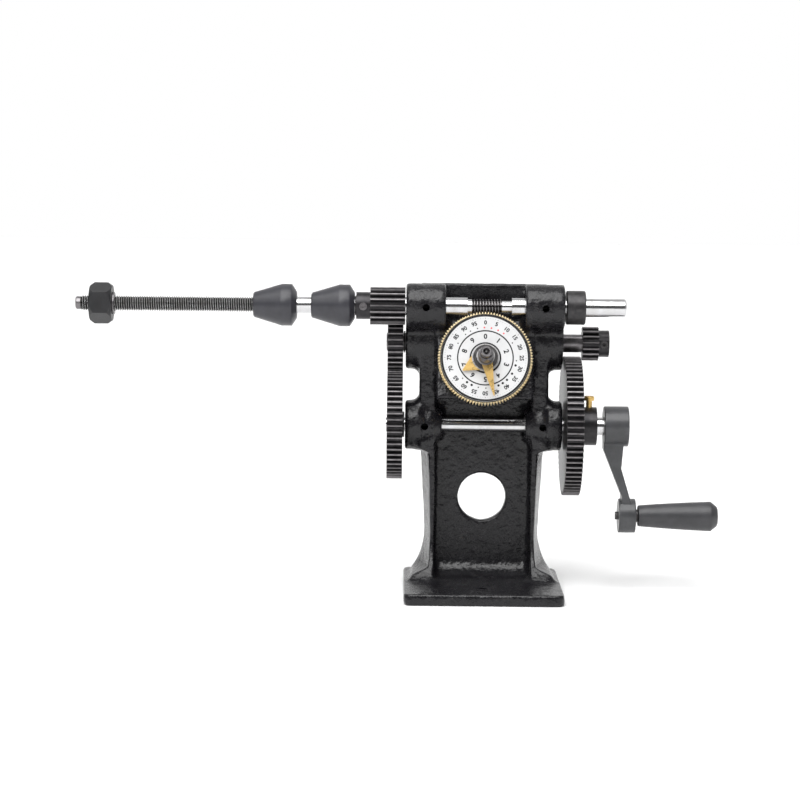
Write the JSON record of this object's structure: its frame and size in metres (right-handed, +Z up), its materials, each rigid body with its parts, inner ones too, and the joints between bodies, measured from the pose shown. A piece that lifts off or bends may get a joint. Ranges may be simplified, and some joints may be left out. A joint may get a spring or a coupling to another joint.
{
  "type": "manual wire coil winding machine",
  "caption": "Bench coil winder: cast frame, hand crank, two-speed gear train, threaded mandrel with clamping cones, worm-driven turns counter.",
  "frame": {"origin": "centre of the base's bottom face", "axes": "+X along the three shafts from the mandrel towards the crank, -Y towards the operator and the dial, +Z up"},
  "size_m": [0.4264, 0.1156, 0.204],
  "materials": {
    "cast_iron": "black enamel over a rough sand casting",
    "black_steel": "black oxide, satin",
    "bright_steel": "turned and ground",
    "brass": "machined",
    "dial_print": "white print, satin",
    "grip_black": "satin",
    "nylon": "matte"
  },
  "bodies": {
    "frame": {"frame_casting": "cast_iron", "counter_post": "bright_steel", "post_nut": "bright_steel", "spring_washer": "bright_steel", "friction_pad": "nylon", "friction_screw": "black_steel"},
    "shift_carrier": {"shift_washer": "black_steel"},
    "layshaft_set": {"layshaft": "bright_steel", "lay_gear": "black_steel", "lay_gear_key": "bright_steel", "lay_pinion": "black_steel", "lay_pinion_screw": "black_steel"},
    "crank_set": {"crankshaft": "bright_steel", "slow_gear": "black_steel", "slow_gear_key": "bright_steel", "large_gear": "black_steel", "large_gear_screw": "brass", "crank_arm": "black_steel", "crank_screw": "black_steel", "grip_pin": "bright_steel", "grip_washer": "bright_steel"},
    "grip_body": {"grip": "grip_black"},
    "spindle_set": {"spindle": "bright_steel", "spindle_pinion": "black_steel", "spindle_pinion_screw": "black_steel", "stop_collar": "black_steel", "stop_collar_screw": "black_steel"},
    "left_cone_set": {"left_cone": "black_steel", "left_cone_screw": "black_steel"},
    "right_cone_set": {"right_cone": "black_steel", "right_cone_screw": "black_steel"},
    "nut_carrier": {"clamp_washer": "bright_steel"},
    "nut_body": {"clamp_nut": "black_steel"},
    "dial_set": {"dial_wheel": "brass", "dial_plate": "dial_print"},
    "hundreds_set": {"hundreds_wheel": "brass", "short_pointer": "brass"},
    "pointer_set": {"pointer_hub": "bright_steel", "long_pointer": "brass"}
  },
  "joints": [
    {"name": "crank_spin", "type": "hinge", "parent": "frame", "child": "crank_set", "pos_m": [0, 0.01735, 0.1095], "axis": [1, 0, 0], "continuous": true},
    {"name": "gear_shift", "type": "slide", "parent": "frame", "child": "shift_carrier", "axis": [-1, 0, 0], "range_m": [0, 0.0113]},
    {"name": "layshaft_spin", "type": "hinge", "parent": "shift_carrier", "child": "layshaft_set", "pos_m": [0, 0.02475, 0.164], "axis": [1, 0, 0], "continuous": true},
    {"name": "spindle_spin", "type": "hinge", "parent": "frame", "child": "spindle_set", "pos_m": [0, 0.006, 0.189], "axis": [1, 0, 0], "continuous": true},
    {"name": "dial_spin", "type": "hinge", "parent": "frame", "child": "dial_set", "pos_m": [0, -0.00485, 0.15562], "axis": [0, -0.9511, 0.309], "continuous": true},
    {"name": "hundreds_spin", "type": "hinge", "parent": "frame", "child": "hundreds_set", "pos_m": [0, -0.00485, 0.15562], "axis": [0, -0.9511, 0.309], "continuous": true},
    {"name": "pointer_turn", "type": "hinge", "parent": "frame", "child": "pointer_set", "pos_m": [0, -0.00485, 0.15562], "axis": [0, -0.9511, 0.309], "continuous": true},
    {"name": "grip_spin", "type": "hinge", "parent": "crank_set", "child": "grip_body", "pos_m": [0, 0.01735, 0.0495], "axis": [1, 0, 0], "continuous": true},
    {"name": "left_cone_slide", "type": "slide", "parent": "spindle_set", "child": "left_cone_set", "axis": [1, 0, 0], "range_m": [-0.09, 0.0045]},
    {"name": "right_cone_slide", "type": "slide", "parent": "spindle_set", "child": "right_cone_set", "axis": [1, 0, 0], "range_m": [-0.0045, 0]},
    {"name": "nut_travel", "type": "slide", "parent": "spindle_set", "child": "nut_carrier", "axis": [1, 0, 0], "range_m": [0, 0.09]},
    {"name": "nut_turn", "type": "hinge", "parent": "nut_carrier", "child": "nut_body", "pos_m": [0, 0.006, 0.189], "axis": [1, 0, 0], "range_deg": [0, 21600]}
  ],
  "couplings": [
    {"joint": "layshaft_spin", "follows": "crank_spin", "ratio": -1.75},
    {"joint": "spindle_spin", "follows": "crank_spin", "ratio": 3.1111},
    {"joint": "dial_spin", "follows": "crank_spin", "ratio": 0.031111},
    {"joint": "hundreds_spin", "follows": "crank_spin", "ratio": 0.032407},
    {"joint": "nut_turn", "follows": "nut_travel", "rad_per_m": 4188.8}
  ]
}
